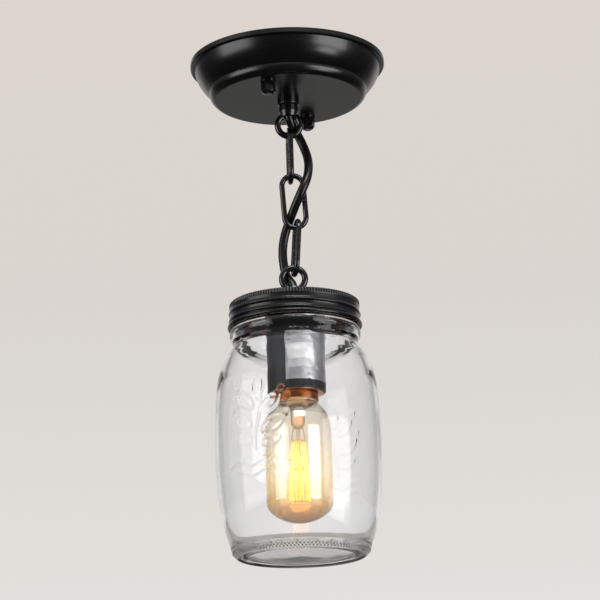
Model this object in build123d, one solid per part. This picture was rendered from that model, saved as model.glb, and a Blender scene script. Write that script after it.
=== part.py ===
from build123d import *
import math
import os

# Glass jar pendant light, hung from a ceiling canopy by three open links.
# The origin is the centre of the canopy at the ceiling plane, +Z is up,
# and the lamp hangs down from there. Millimetres.

# Ceiling canopy, spun from sheet steel
CANOPY_RADIUS = 66.0
CANOPY_HEIGHT = 26.2
CANOPY_SHEET = 0.9
CANOPY_BAND = 3.0
CANOPY_FLAT_RADIUS = 49.3
CANOPY_BEAD_DROP = 6.4
CANOPY_SCREW_SPACING = 76.0
CANOPY_SCREW_TURN = 70.1

# Crossbar that screws to the outlet box
BAR_LENGTH = 102.0
BAR_WIDTH = 19.0
BAR_THICK = 1.6
BOX_SCREW_SPACING = 88.9
BOX_SCREW_HOLE = 5.0
BAR_CENTRE_HOLE = 10.6
GROUND_SCREW_PLACE = 20.0

# Small fasteners
STUD_DIAMETER = 4.0
STUD_CLEAR = 0.1
CAP_NUT_WIDTH = 8.6
CAP_NUT_HEIGHT = 9.0
PIPE_OUTER = 10.0
PIPE_INNER = 8.0
PIPE_CLEAR = 0.1
PIPE_NUT_WIDTH = 14.0
PIPE_NUT_THICK = 3.0
WASHER_OUTER = 16.0
WASHER_THICK = 0.8
PIPE_SPARE = 1.2

# Cast loop and the check ring that it seats on
RING_OUTER = 19.6
RING_WIRE = 4.3
NECK_DIAMETER = 12.9
NECK_HEIGHT = 4.6
NECK_FOOT_DIAMETER = 10.6
NECK_FOOT_DROP = 3.4
CORD_BORE = 7.6
CHECK_RING_OUTER = 14.8
CHECK_RING_HEIGHT = 4.2
LOOP_RISE = 18.3

# Chain
LINK_LENGTH = 40.4
LINK_WIDTH = 18.0
LINK_WIRE = 3.7
LINK_GAP = 0.5
HANG_CLEAR = 0.2
UPPER_LINK_TURN = 6.0
LOWER_LINK_TURN = 10.5
MIDDLE_LINK_SHIFT = 1.2
MIDDLE_LINK_LEAN = 3.3
PENDANT_CONTACT = 1.0

# Lamp cord
CORD_DIAMETER = 6.0

# Lid, screw band and gasket
LID_RADIUS = 41.4
LID_SHEET = 0.7
LID_STEP_RADIUS = 33.0
GASKET_INNER = 35.5
GASKET_OUTER = 40.8
GASKET_THICK = 0.75
BAND_HEIGHT = 17.1
BAND_SHEET = 0.7
BAND_RIB_RADIUS = 43.1
BAND_RIB_HEIGHT = 3.3
BAND_BULGE_RADIUS = 43.8
BAND_NOTCH_RADIUS = 42.9
BAND_BEAD_RADIUS = 44.7
BAND_OPENING_RADIUS = 36.4

# Glass jar
JAR_HEIGHT = 167.4
JAR_RADIUS = 54.4
JAR_WALL = 2.8
JAR_FLOOR = 5.0
JAR_PUSH_UP = 2.6
JAR_FINISH_RADIUS = 40.8
JAR_BEAD_RADIUS = 43.3
JAR_WAIST_RADIUS = 41.2
JAR_FOOT_RADIUS = 39.0

# Lampholder
HOLDER_DIAMETER = 38.4
HOLDER_LENGTH = 59.3
HOLDER_CAP_LENGTH = 14.0
HOLDER_WALL = 2.4
HOLDER_TOP = 3.0
HOLDER_FLOOR = 4.0
HOLDER_SPIGOT = 5.0
SHELL_OUTER = 28.2
SHELL_SHEET = 0.4
SHELL_LENGTH = 22.0
SHELL_RIM_DIAMETER = 35.0
SHELL_CLEAR = 0.1
CONTACT_STRIP = 6.0
CONTACT_SHEET = 0.5

# Bulb
BULB_RADIUS = 22.4
BULB_LENGTH = 113.0
BULB_GLASS = 0.8
BULB_BASE_DIAMETER = 26.2
BULB_SKIRT_DIAMETER = 28.2
BULB_SKIRT_LENGTH = 5.0
BULB_BASE_SHEET = 0.5
BULB_NECK_RADIUS = 13.2
BULB_CONTACT_DIAMETER = 9.0
BULB_CONTACT_GAP = 0.3
BULB_SHOULDER = 20.0
BULB_DOME = 17.0
BULB_CORNER = 13.0
FILAMENT_RUNS = 18
FILAMENT_WIRE = 0.5
FILAMENT_TOP_RADIUS = 4.2
FILAMENT_FOOT_RADIUS = 6.7
FILAMENT_LENGTH = 40.0
FILAMENT_TIP_SPACE = 15.2
STEM_ROD_RADIUS = 1.2
SUPPORT_WIRE = 0.4

# Places that follow from the sizes
CANOPY_FLAT_Z = -CANOPY_HEIGHT
CANOPY_INSIDE_Z = CANOPY_FLAT_Z + CANOPY_SHEET
RING_RADIUS = (RING_OUTER - RING_WIRE) / 2
TOP_RING_Z = CANOPY_FLAT_Z - LOOP_RISE
TOP_RING_WIRE_Z = TOP_RING_Z - RING_RADIUS
LINK_END_RADIUS = (LINK_WIDTH - LINK_WIRE) / 2
LINK_STRAIGHT = LINK_LENGTH - LINK_WIDTH
LINK_REACH = LINK_LENGTH - LINK_WIRE
RING_HANG = (RING_WIRE + LINK_WIRE) / 2 + HANG_CLEAR
LINK_HANG = LINK_WIRE + HANG_CLEAR


def on_circle(radius, sideways):
    """Height over a circle's centre of its point that lies this far sideways."""
    return math.sqrt(radius**2 - sideways**2)


# Upper link, straight down from the canopy's ring
UPPER_TOP_Z = TOP_RING_WIRE_Z + RING_HANG
UPPER_FOOT_Z = UPPER_TOP_Z - LINK_REACH

# Middle link, pushed aside by the cord: it bears off its crown at both ends
LINK_SEAT = LINK_END_RADIUS - LINK_HANG
SEAT_DROP = on_circle(LINK_SEAT, MIDDLE_LINK_SHIFT)
MIDDLE_TOP = (MIDDLE_LINK_SHIFT, UPPER_FOOT_Z - SEAT_DROP)
MIDDLE_FOOT = (
    MIDDLE_TOP[0] + LINK_STRAIGHT * math.sin(math.radians(MIDDLE_LINK_LEAN)),
    MIDDLE_TOP[1] - LINK_STRAIGHT * math.cos(math.radians(MIDDLE_LINK_LEAN)),
)

# Lower link, leaning back to the lid's ring
LOWER_TOP = (MIDDLE_FOOT[0] + MIDDLE_LINK_SHIFT, MIDDLE_FOOT[1] - SEAT_DROP)
LOWER_LEAN = math.asin((LOWER_TOP[0] - PENDANT_CONTACT) / LINK_REACH)
LOWER_FOOT = (PENDANT_CONTACT, LOWER_TOP[1] - LINK_REACH * math.cos(LOWER_LEAN))

# Lid and what hangs on it
LID_RING_Z = LOWER_FOOT[1] - on_circle(RING_RADIUS - RING_HANG, PENDANT_CONTACT)
LID_TOP_Z = LID_RING_Z - LOOP_RISE
LID_UNDER_Z = LID_TOP_Z - LID_SHEET
JAR_RIM_Z = LID_UNDER_Z - GASKET_THICK
JAR_FOOT_Z = JAR_RIM_Z - JAR_HEIGHT
BAND_TOP_Z = LID_TOP_Z + BAND_SHEET + 0.05
BAND_FOOT_Z = BAND_TOP_Z - BAND_HEIGHT
HOLDER_FOOT_Z = LID_UNDER_Z - HOLDER_LENGTH
HOLDER_SPLIT_Z = LID_UNDER_Z - HOLDER_CAP_LENGTH
SHELL_RIM_Z = HOLDER_FOOT_Z - SHELL_SHEET - SHELL_CLEAR
SKIRT_TOP_Z = SHELL_RIM_Z - 0.3
SKIRT_FOOT_Z = SKIRT_TOP_Z - BULB_SKIRT_LENGTH
BULB_TIP_Z = SKIRT_FOOT_Z - 82.3
BULB_CONTACT_Z = BULB_TIP_Z + BULB_LENGTH

# Cord route from the upper loop's bore to the lid loop's bore
CORD_ROUTE = [
    (0.0, 0.0, -22.5),
    (0.0, 0.0, -31.0),
    (-0.1, 0.5, -40.0),
    (3.9, 5.4, -46.4),
    (6.9, 6.4, -51.6),
    (10.0, 5.0, -59.6),
    (12.2, 2.2, -67.8),
    (12.5, -1.4, -76.3),
    (11.0, -4.7, -84.8),
    (7.6, -5.8, -92.6),
    (3.9, -2.6, -99.6),
    (0.6, 2.0, -106.2),
    (-2.8, 5.6, -113.6),
    (-5.6, 6.8, -122.2),
    (-6.9, 7.0, -131.2),
    (-6.5, 6.5, -140.0),
    (-5.4, 6.1, -147.1),
    (-3.8, 4.2, -151.7),
    (0.2, 0.7, -157.4),
    (0.0, 0.0, -165.4),
]

os.makedirs("parts", exist_ok=True)
made = {}


def keep(name, shape):
    """Write one piece to its own file and remember it for the closing list."""
    made[name] = shape
    export_step(shape, f"parts/{name}.step")


def outline(start, *path):
    """Edges of an outline in the r-z plane. A step is a point for a line, or two for an arc."""
    edges = []
    here = start
    for step in path:
        if isinstance(step[0], tuple):
            through, there = step
            edges.append(ThreePointArc(at(here), at(through), at(there)))
        else:
            there = step
            edges.append(Line(at(here), at(there)))
        here = there
    return edges


def at(point):
    """Place a radius and a height in the r-z plane."""
    return (point[0], 0, point[1])


def turned(start, *path):
    """Solid of revolution about Z, from a closed outline."""
    edges = outline(start, *path, start)
    return revolve(make_face(edges), Axis.Z, 360)


def tube(outer, inner, low, high):
    """Round tube about Z between two heights."""
    return turned((inner, low), (outer, low), (outer, high), (inner, high))


def rod(radius, low, high):
    """Round bar about Z between two heights."""
    return Pos(0, 0, low) * Cylinder(radius, high - low, align=(Align.CENTER, Align.CENTER, Align.MIN))


def between(a, b, radius):
    """Round bar from one point to another."""
    run = Vector(*b) - Vector(*a)
    plane = Plane(origin=a, z_dir=run)
    return plane * Cylinder(radius, run.length, align=(Align.CENTER, Align.CENTER, Align.MIN))


def hexagon(width, low, high):
    """Hexagonal bar about Z, given across its flats."""
    face = RegularPolygon(width / 2, 6, major_radius=False)
    return Pos(0, 0, low) * extrude(face, high - low)


def along_bar(place):
    """Turn and shift from the centre to a place along the crossbar."""
    return Rot(0, 0, CANOPY_SCREW_TURN) * Pos(place, 0, 0)


def both_screws(shape):
    """Copies of a shape at the two canopy screws."""
    return [along_bar(side * CANOPY_SCREW_SPACING / 2) * shape for side in (-1, 1)]


def make_canopy():
    """Spun bowl: straight band, narrow ledge, full curve, bead and flat face."""
    band_foot = -CANOPY_BAND
    ledge = CANOPY_RADIUS - 2.9
    bead_radius = CANOPY_FLAT_RADIUS + 4.2
    bead_top = CANOPY_FLAT_Z + CANOPY_BEAD_DROP
    waist = (bead_radius + 1.1, bead_top + 0.9)
    shoulder = (ledge, band_foot - 1.6)
    belly = ((ledge + waist[0]) / 2 + 1.3, (shoulder[1] + waist[1]) / 2 - 0.8)

    def skin(inset):
        """The same bowl, drawn in by the sheet for its inner face."""
        foot = CANOPY_FLAT_Z + inset
        return [
            (CANOPY_RADIUS - inset, 0.0),
            (CANOPY_RADIUS - inset, band_foot + inset * 0.8),
            (CANOPY_RADIUS - 0.7 - inset * 0.8, band_foot - 0.6 + inset),
            (ledge + 0.3 - inset, band_foot - 0.7 + inset),
            (shoulder[0] - inset, shoulder[1] + inset * 0.4),
            ((belly[0] - inset * 0.8, belly[1] + inset * 0.5), (waist[0] - inset * 0.6, waist[1] + inset * 0.8)),
            (bead_radius - inset, bead_top + inset * 0.3),
            (
                (CANOPY_FLAT_RADIUS + 3.0 - inset * 0.7, foot + CANOPY_BEAD_DROP * 0.32 - inset * 0.1),
                (CANOPY_FLAT_RADIUS - inset * 0.2, foot),
            ),
            (0.0, foot),
        ]

    outer = turned(*skin(0.0), (0.0, 0.0))
    inner = turned(*skin(CANOPY_SHEET), (0.0, 0.0))
    shell = outer - inner
    shell -= rod(PIPE_OUTER / 2 + 0.3, CANOPY_FLAT_Z - 1, CANOPY_INSIDE_Z + 1)
    hole = rod(STUD_DIAMETER / 2 + 0.4, CANOPY_FLAT_Z - 1, CANOPY_INSIDE_Z + 1)
    for cut in both_screws(hole):
        shell -= cut
    keep("canopy", shell)


def make_crossbar():
    """Flat bar with round ends, box screw holes, stud holes and an open centre."""
    blank = SlotOverall(BAR_LENGTH, BAR_WIDTH)
    bar = Pos(0, 0, -BAR_THICK) * extrude(blank, BAR_THICK)
    low, high = -BAR_THICK - 1, 1
    bar -= rod(BAR_CENTRE_HOLE / 2, low, high)
    for side in (-1, 1):
        bar -= Pos(side * BOX_SCREW_SPACING / 2, 0, 0) * rod(BOX_SCREW_HOLE / 2, low, high)
        stud_hole = rod(STUD_DIAMETER / 2 + STUD_CLEAR / 2, low, high)
        bar -= Pos(side * CANOPY_SCREW_SPACING / 2, 0, 0) * stud_hole
    ground = Pos(GROUND_SCREW_PLACE, 0, 0)
    bar -= ground * rod(STUD_DIAMETER / 2 + STUD_CLEAR / 2, low, high)
    keep("crossbar", along_bar(0) * bar)

    shank = ground * rod(STUD_DIAMETER / 2, -BAR_THICK - 1.0, 0)
    head = ground * hexagon(7.0, -BAR_THICK - 3.4, -BAR_THICK)
    keep("ground_screw", along_bar(0) * (shank + head))


def make_canopy_fasteners():
    """Studs staked in the crossbar and the cap nuts that close on the canopy."""
    tip = CANOPY_FLAT_Z - CAP_NUT_HEIGHT + 3.0
    stud = rod(STUD_DIAMETER / 2, tip, 0)
    keep("canopy_studs", Compound(children=both_screws(stud)))

    top = CANOPY_FLAT_Z
    waist = top - CAP_NUT_HEIGHT * 0.55
    corner = CAP_NUT_WIDTH / math.sqrt(3)
    hex_part = hexagon(CAP_NUT_WIDTH, top - CAP_NUT_HEIGHT, top - 0.8)
    form = turned(
        (0.0, top),
        (corner + 0.35, top),
        (corner + 0.35, top - 0.8),
        (corner, top - 1.1),
        (corner, waist),
        ((corner * 0.8, waist - CAP_NUT_HEIGHT * 0.34), (0.0, top - CAP_NUT_HEIGHT)),
    )
    flange = rod(corner + 0.35, top - 0.8, top)
    nut = (hex_part & form) + flange
    nut -= rod(STUD_DIAMETER / 2 + STUD_CLEAR / 2, tip - 0.3, top + 1)
    keep("canopy_cap_nuts", Compound(children=both_screws(nut)))


def make_loop(name, seat, up):
    """Cast ring on a bored neck, its check ring and its length of threaded pipe."""
    ring_drop = LOOP_RISE - CHECK_RING_HEIGHT
    ring = Pos(0, 0, -ring_drop) * Rot(90, 0, 0) * Torus(RING_RADIUS, RING_WIRE / 2)
    neck = turned(
        (0.0, 0.0),
        (NECK_DIAMETER / 2 - 0.4, 0.0),
        (NECK_DIAMETER / 2, -0.4),
        (NECK_DIAMETER / 2, -NECK_HEIGHT),
        (NECK_FOOT_DIAMETER / 2, -NECK_HEIGHT - NECK_FOOT_DROP),
        (0.0, -NECK_HEIGHT - NECK_FOOT_DROP),
    )
    hole_top = -ring_drop + RING_OUTER / 2 - RING_WIRE
    loop = ring + neck
    loop -= rod(CORD_BORE / 2, hole_top - 2.0, 1.0)
    loop -= rod((PIPE_OUTER + PIPE_CLEAR) / 2, -NECK_HEIGHT, 1.0)

    check = turned(
        ((PIPE_OUTER + PIPE_CLEAR) / 2, 0.0),
        (CHECK_RING_OUTER / 2, 0.0),
        (CHECK_RING_OUTER / 2, -CHECK_RING_HEIGHT + 0.9),
        ((CHECK_RING_OUTER / 2 - 0.27, -CHECK_RING_HEIGHT + 0.27), (CHECK_RING_OUTER / 2 - 0.9, -CHECK_RING_HEIGHT)),
        ((PIPE_OUTER + PIPE_CLEAR) / 2, -CHECK_RING_HEIGHT),
    )
    turn = Rot(180, 0, 0) if up else Rot(0, 0, 0)
    place = Pos(0, 0, seat) * turn
    keep(f"{name}_check_ring", place * check)
    keep(f"{name}_loop", place * Pos(0, 0, -CHECK_RING_HEIGHT) * loop)


def pipe_end(seat, up):
    """Where the threaded pipe stops inside the loop's neck."""
    reach = CHECK_RING_HEIGHT + NECK_HEIGHT - 0.3
    return seat + reach if up else seat - reach


def hex_nut(low):
    """Thin hexagonal nut for the threaded pipe, with bevelled corners."""
    high = low + PIPE_NUT_THICK
    corner = PIPE_NUT_WIDTH / math.sqrt(3)
    bevel = turned(
        (0.0, low),
        (corner - 0.9, low),
        (corner, low + 0.5),
        (corner, high - 0.5),
        (corner - 0.9, high),
        (0.0, high),
    )
    nut = hexagon(PIPE_NUT_WIDTH, low, high) & bevel
    return nut - rod((PIPE_OUTER + PIPE_CLEAR) / 2, low - 1, high + 1)


def toothed_washer(low):
    """Washer with a ring of short outer teeth."""
    teeth = 12
    disc = tube(WASHER_OUTER / 2, PIPE_OUTER / 2 + 0.2, low, low + WASHER_THICK)
    notch = Pos(WASHER_OUTER / 2, 0, low - 1) * Cylinder(0.9, WASHER_THICK + 2, align=(Align.CENTER, Align.CENTER, Align.MIN))
    for index in range(teeth):
        disc -= Rot(0, 0, index * 360 / teeth) * notch
    return disc


def make_canopy_stem():
    """Pipe through the canopy with its washer, nut and the cord's bushing."""
    washer_low = CANOPY_INSIDE_Z
    nut_low = washer_low + WASHER_THICK
    pipe_top = nut_low + PIPE_NUT_THICK + PIPE_SPARE
    keep("canopy_nipple", tube(PIPE_OUTER / 2, PIPE_INNER / 2, pipe_end(CANOPY_FLAT_Z, False), pipe_top))
    keep("canopy_lock_washer", toothed_washer(washer_low))
    keep("canopy_locknut", hex_nut(nut_low))
    bushing = turned(
        (CORD_DIAMETER / 2 + 0.3, pipe_top - 3.5),
        (PIPE_INNER / 2 - 0.1, pipe_top - 3.5),
        (PIPE_INNER / 2 - 0.1, pipe_top),
        (PIPE_OUTER / 2 + 0.6, pipe_top),
        ((PIPE_OUTER / 2 + 0.3, pipe_top + 0.9), (PIPE_OUTER / 2 - 0.6, pipe_top + 1.2)),
        (CORD_DIAMETER / 2 + 0.9, pipe_top + 1.2),
        ((CORD_DIAMETER / 2 + 0.45, pipe_top + 1.05), (CORD_DIAMETER / 2 + 0.3, pipe_top + 0.6)),
    )
    keep("cord_bushing", bushing)


def chain_link(gap_side):
    """One link in its own plane, centred, bent from round wire with a butt gap in one leg."""
    radius = LINK_END_RADIUS
    half = LINK_STRAIGHT / 2
    side = radius * gap_side
    start = (0, side, LINK_GAP / 2)
    path = Wire([
        Line(start, (0, side, half)),
        ThreePointArc((0, side, half), (0, 0, half + radius), (0, -side, half)),
        Line((0, -side, half), (0, -side, -half)),
        ThreePointArc((0, -side, -half), (0, 0, -half - radius), (0, side, -half)),
        Line((0, side, -half), (0, side, -LINK_GAP / 2)),
    ])
    section = Plane(origin=start, z_dir=(0, 0, 1)) * Circle(LINK_WIRE / 2)
    return sweep(section, path)


def make_chain():
    """Three open links: edge on, face on and edge on."""
    upper_z = (UPPER_TOP_Z + UPPER_FOOT_Z) / 2
    keep("chain_link_1", Pos(0, 0, upper_z) * Rot(0, 0, UPPER_LINK_TURN) * chain_link(-1))

    middle = ((MIDDLE_TOP[0] + MIDDLE_FOOT[0]) / 2, (MIDDLE_TOP[1] + MIDDLE_FOOT[1]) / 2)
    face_on = Rot(0, -MIDDLE_LINK_LEAN, 0) * Rot(0, 0, 90)
    keep("chain_link_2", Pos(middle[0], 0, middle[1]) * face_on * chain_link(-1))

    lower = ((LOWER_TOP[0] + LOWER_FOOT[0]) / 2, (LOWER_TOP[1] + LOWER_FOOT[1]) / 2)
    edge_on = Rot(0, math.degrees(LOWER_LEAN), 0) * Rot(0, 0, LOWER_LINK_TURN)
    keep("chain_link_3", Pos(lower[0], 0, lower[1]) * edge_on * chain_link(1))


def cord_radii(points):
    """Largest tangent arc that the two runs at each corner of the route allow."""
    radii = []
    for before, corner, after in zip(points, points[1:], points[2:]):
        run_in = Vector(*corner) - Vector(*before)
        run_out = Vector(*after) - Vector(*corner)
        turn = math.radians(run_in.get_angle(run_out))
        shorter = min(run_in.length, run_out.length)
        radii.append(0.45 * shorter / math.tan(turn / 2))
    return radii


def make_cord():
    """Free stretch of the lamp cord, a round tube on straight runs and tangent arcs."""
    radii = cord_radii(CORD_ROUTE)
    print("cord radii", [round(radius, 1) for radius in radii])
    path = FilletPolyline(*CORD_ROUTE, radius=radii)
    start = Plane(origin=path @ 0, z_dir=path % 0)
    cord = sweep(start * Circle(CORD_DIAMETER / 2), path)
    expected = math.pi * CORD_DIAMETER**2 / 4 * path.length
    print("cord length", round(path.length, 1), "volume", round(cord.volume), "of", round(expected))
    keep("lamp_cord", cord)


def make_lid():
    """Pressed lid, its sealing ring and the pipe that carries the lampholder."""
    step = 0.8
    hole = PIPE_OUTER / 2 + 0.2
    lid = turned(
        (hole, LID_TOP_Z),
        (LID_STEP_RADIUS, LID_TOP_Z),
        (LID_STEP_RADIUS + step, LID_TOP_Z - 0.25),
        (LID_RADIUS, LID_TOP_Z - 0.25),
        (LID_RADIUS, LID_UNDER_Z),
        (hole, LID_UNDER_Z),
    )
    keep("lid_disc", lid)
    keep("lid_gasket", tube(GASKET_OUTER, GASKET_INNER, JAR_RIM_Z, LID_UNDER_Z))

    washer_low = LID_UNDER_Z - HOLDER_TOP - WASHER_THICK
    nut_low = washer_low - PIPE_NUT_THICK
    pipe_foot = nut_low - PIPE_SPARE
    keep("lid_nipple", tube(PIPE_OUTER / 2, PIPE_INNER / 2, pipe_foot, pipe_end(LID_TOP_Z, True)))
    keep("lid_lock_washer", toothed_washer(washer_low))
    keep("lid_locknut", hex_nut(nut_low))


def make_band():
    """Rolled screw band: ribbed top edge, two thread bulges and a curled foot."""
    top, foot = BAND_TOP_Z, BAND_FOOT_Z
    sheet = BAND_SHEET
    rib_foot = top - BAND_RIB_HEIGHT
    bead = 3.4
    bulge_foot = foot + bead + 5.0
    bead_top = foot + bead + 1.2
    blank = turned(
        (BAND_OPENING_RADIUS, top - sheet),
        (BAND_OPENING_RADIUS, top),
        (BAND_RIB_RADIUS - 0.8, top),
        ((BAND_RIB_RADIUS - 0.2, top - 0.2), (BAND_RIB_RADIUS, top - 0.8)),
        (BAND_RIB_RADIUS, rib_foot),
        (BAND_NOTCH_RADIUS - 0.2, rib_foot - 0.5),
        ((BAND_BULGE_RADIUS, (rib_foot + bulge_foot) / 2 - 0.2), (BAND_NOTCH_RADIUS, bulge_foot)),
        ((BAND_NOTCH_RADIUS + 0.15, (bulge_foot + bead_top) / 2), (BAND_NOTCH_RADIUS + 0.5, bead_top)),
        ((BAND_BEAD_RADIUS, foot + bead * 0.62), (BAND_BEAD_RADIUS - 0.9, foot)),
        (BAND_BEAD_RADIUS - 1.5, foot),
        (BAND_NOTCH_RADIUS - sheet, foot + bead * 0.5),
        (BAND_NOTCH_RADIUS - sheet - 0.1, bulge_foot),
        ((BAND_BULGE_RADIUS - sheet, (rib_foot + bulge_foot) / 2 - 0.2), (BAND_NOTCH_RADIUS - sheet - 0.2, rib_foot - 0.5)),
        (BAND_NOTCH_RADIUS - sheet - 0.2, top - sheet),
    )
    keep("screw_band", blank)


def make_jar():
    """Blown jar: finish, transfer bead, full shoulder, tapered body and pushed-up base."""
    rim, foot = JAR_RIM_Z, JAR_FOOT_Z
    finish = JAR_FINISH_RADIUS
    bead_low = rim - 21.8
    waist = rim - 24.0
    heel = foot + 5.5
    slim = JAR_RADIUS - 1.7
    shoulder = (JAR_RADIUS - 2.1, rim - 53.4)
    chest = (JAR_RADIUS - 1.6, rim - 129.4)
    floor = foot + JAR_FLOOR
    wall = JAR_WALL
    bore = finish - wall
    jar = turned(
        (0.0, foot + JAR_PUSH_UP),
        (JAR_FOOT_RADIUS - 5.5, foot + JAR_PUSH_UP - 0.6),
        (JAR_FOOT_RADIUS - 3.6, foot),
        (JAR_FOOT_RADIUS, foot),
        ((JAR_FOOT_RADIUS + 4.2, foot + 1.6), (JAR_RADIUS - 9.6, heel)),
        ((JAR_RADIUS - 5.2, foot + 18.5), chest),
        ((JAR_RADIUS, rim - 92.0), shoulder),
        ((JAR_RADIUS - 6.3, rim - 38.4), (JAR_WAIST_RADIUS + 0.3, waist - 3.6)),
        ((JAR_WAIST_RADIUS, waist - 1.6), (JAR_WAIST_RADIUS + 0.3, waist)),
        (JAR_BEAD_RADIUS - 0.6, bead_low - 0.4),
        ((JAR_BEAD_RADIUS, bead_low + 2.8), (JAR_BEAD_RADIUS - 0.5, bead_low + 5.6)),
        (finish, bead_low + 6.2),
        (finish, rim - 1.2),
        ((finish - 0.36, rim - 0.36), (finish - 1.2, rim)),
        (bore + 0.8, rim),
        ((bore + 0.24, rim - 0.24), (bore, rim - 0.8)),
        (bore, waist - 2.0),
        ((slim - 6.0 - wall * 0.6, rim - 38.4 - wall * 0.4), (shoulder[0] - wall, shoulder[1] - wall * 0.3)),
        ((JAR_RADIUS - wall, rim - 92.0), (chest[0] - wall, chest[1])),
        ((JAR_RADIUS - 5.4 - wall, foot + 19.5), (JAR_FOOT_RADIUS + 2.0, floor + 3.4)),
        ((JAR_FOOT_RADIUS - 0.4, floor + 0.9), (JAR_FOOT_RADIUS - 4.0, floor)),
        (0.0, floor + 1.2),
    )
    keep("glass_jar", jar)


def make_lampholder():
    """Two-piece moulded holder with its screw shell, centre contact and terminals."""
    radius = HOLDER_DIAMETER / 2
    hole = PIPE_OUTER / 2 + 0.2
    inner = radius - HOLDER_WALL
    cap_top = LID_UNDER_Z
    cap = turned(
        (hole, cap_top),
        (radius - 0.8, cap_top),
        (radius, cap_top - 0.8),
        (radius, HOLDER_SPLIT_Z),
        (inner, HOLDER_SPLIT_Z),
        (inner, cap_top - HOLDER_TOP),
        (hole, cap_top - HOLDER_TOP),
    )
    keep("holder_cap", cap)

    spigot = inner - 0.1
    shell_bore = (SHELL_OUTER + SHELL_CLEAR) / 2
    floor_top = HOLDER_SPLIT_Z + HOLDER_SPIGOT - 2.0
    pocket_top = floor_top - HOLDER_FLOOR
    body = turned(
        (0.0, floor_top),
        (spigot - 2.2, floor_top),
        (spigot - 2.2, HOLDER_SPLIT_Z + HOLDER_SPIGOT),
        (spigot, HOLDER_SPLIT_Z + HOLDER_SPIGOT),
        (spigot, HOLDER_SPLIT_Z),
        (radius, HOLDER_SPLIT_Z),
        (radius, HOLDER_FOOT_Z + 0.6),
        (radius - 0.6, HOLDER_FOOT_Z),
        (shell_bore, HOLDER_FOOT_Z),
        (shell_bore, pocket_top),
        (0.0, pocket_top),
    )
    terminal_place = 10.5
    for side in (-1, 1):
        body -= Pos(side * terminal_place, 0, 0) * rod(1.6, pocket_top - 1, floor_top + 1)
    keep("holder_body", body)

    shell_inner = SHELL_OUTER / 2 - SHELL_SHEET
    rim_top = HOLDER_FOOT_Z - SHELL_CLEAR
    shell_top = rim_top + SHELL_LENGTH
    shell = turned(
        (shell_inner, shell_top),
        (SHELL_OUTER / 2, shell_top),
        (SHELL_OUTER / 2, rim_top),
        (SHELL_RIM_DIAMETER / 2, rim_top),
        (SHELL_RIM_DIAMETER / 2, SHELL_RIM_Z),
        (shell_inner + 0.6, SHELL_RIM_Z),
        (shell_inner, SHELL_RIM_Z + 0.6),
    )
    keep("holder_screw_shell", shell)

    strip_z = BULB_CONTACT_Z + BULB_CONTACT_GAP
    foot = Pos(7.0, 0, pocket_top - CONTACT_SHEET / 2) * Box(8.0, CONTACT_STRIP, CONTACT_SHEET)
    tongue_end = (-3.0, strip_z + CONTACT_SHEET / 2)
    bend = (10.6, pocket_top - CONTACT_SHEET / 2)
    run = Vector(tongue_end[0] - bend[0], 0, tongue_end[1] - bend[1])
    tongue_plane = Plane(origin=(bend[0], 0, bend[1]), x_dir=run, z_dir=run.cross(Vector(0, 1, 0)))
    tongue = tongue_plane * Box(run.length, CONTACT_STRIP, CONTACT_SHEET, align=(Align.MIN, Align.CENTER, Align.CENTER))
    keep("holder_contact", foot + tongue)

    screw = rod(1.5, pocket_top + 0.5, floor_top) + rod(2.8, floor_top, floor_top + 1.6)
    screws = [Pos(side * terminal_place, 0, 0) * screw for side in (-1, 1)]
    keep("terminal_screws", Compound(children=screws))


def make_bulb_base():
    """Screw base with its glass insulator and centre contact."""
    shell_top = BULB_CONTACT_Z - 5.0
    radius = BULB_BASE_DIAMETER / 2
    skirt = BULB_SKIRT_DIAMETER / 2
    sheet = BULB_BASE_SHEET
    base = turned(
        (radius - 2.4, shell_top),
        ((radius - 0.5, shell_top - 0.6), (radius, shell_top - 2.6)),
        (radius, SKIRT_TOP_Z),
        (skirt, SKIRT_TOP_Z - 0.8),
        (skirt, SKIRT_FOOT_Z),
        (skirt - sheet, SKIRT_FOOT_Z),
        (skirt - sheet, SKIRT_TOP_Z - 1.2),
        (radius - sheet, SKIRT_TOP_Z - 0.4),
        (radius - sheet, shell_top - 2.6),
        ((radius - sheet - 0.4, shell_top - 1.0), (radius - 2.4, shell_top - sheet)),
    )
    keep("bulb_base", base)

    contact = BULB_CONTACT_DIAMETER / 2
    insulator = turned(
        (0.0, BULB_CONTACT_Z - 1.4),
        (contact + 0.6, BULB_CONTACT_Z - 1.4),
        (radius - 2.5, shell_top + 0.0),
        (radius - 2.5, shell_top - 1.6),
        (0.0, shell_top - 1.6),
    )
    keep("bulb_insulator", insulator)
    button = turned(
        (0.0, BULB_CONTACT_Z),
        ((contact * 0.75, BULB_CONTACT_Z - 0.35), (contact, BULB_CONTACT_Z - 1.3)),
        (0.0, BULB_CONTACT_Z - 1.3),
    )
    keep("bulb_contact", button)


def dome(inset, place):
    """A point of the bulb's flattened tip, where a corner arc meets a wide cap arc."""
    corner = BULB_CORNER
    reach = BULB_RADIUS - corner
    cap = (reach**2 + BULB_DOME**2 - corner**2) / (2 * (BULB_DOME - corner))
    middle = BULB_TIP_Z + cap
    lean = math.atan2(reach, cap - BULB_DOME)
    if place == "meet":
        return ((cap - inset) * math.sin(lean), middle - (cap - inset) * math.cos(lean))
    if place == "cap":
        return ((cap - inset) * math.sin(lean / 2), middle - (cap - inset) * math.cos(lean / 2))
    half = (lean + math.pi / 2) / 2
    bend = corner - inset
    return (reach + bend * math.sin(half), BULB_TIP_Z + BULB_DOME - bend * math.cos(half))


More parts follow.
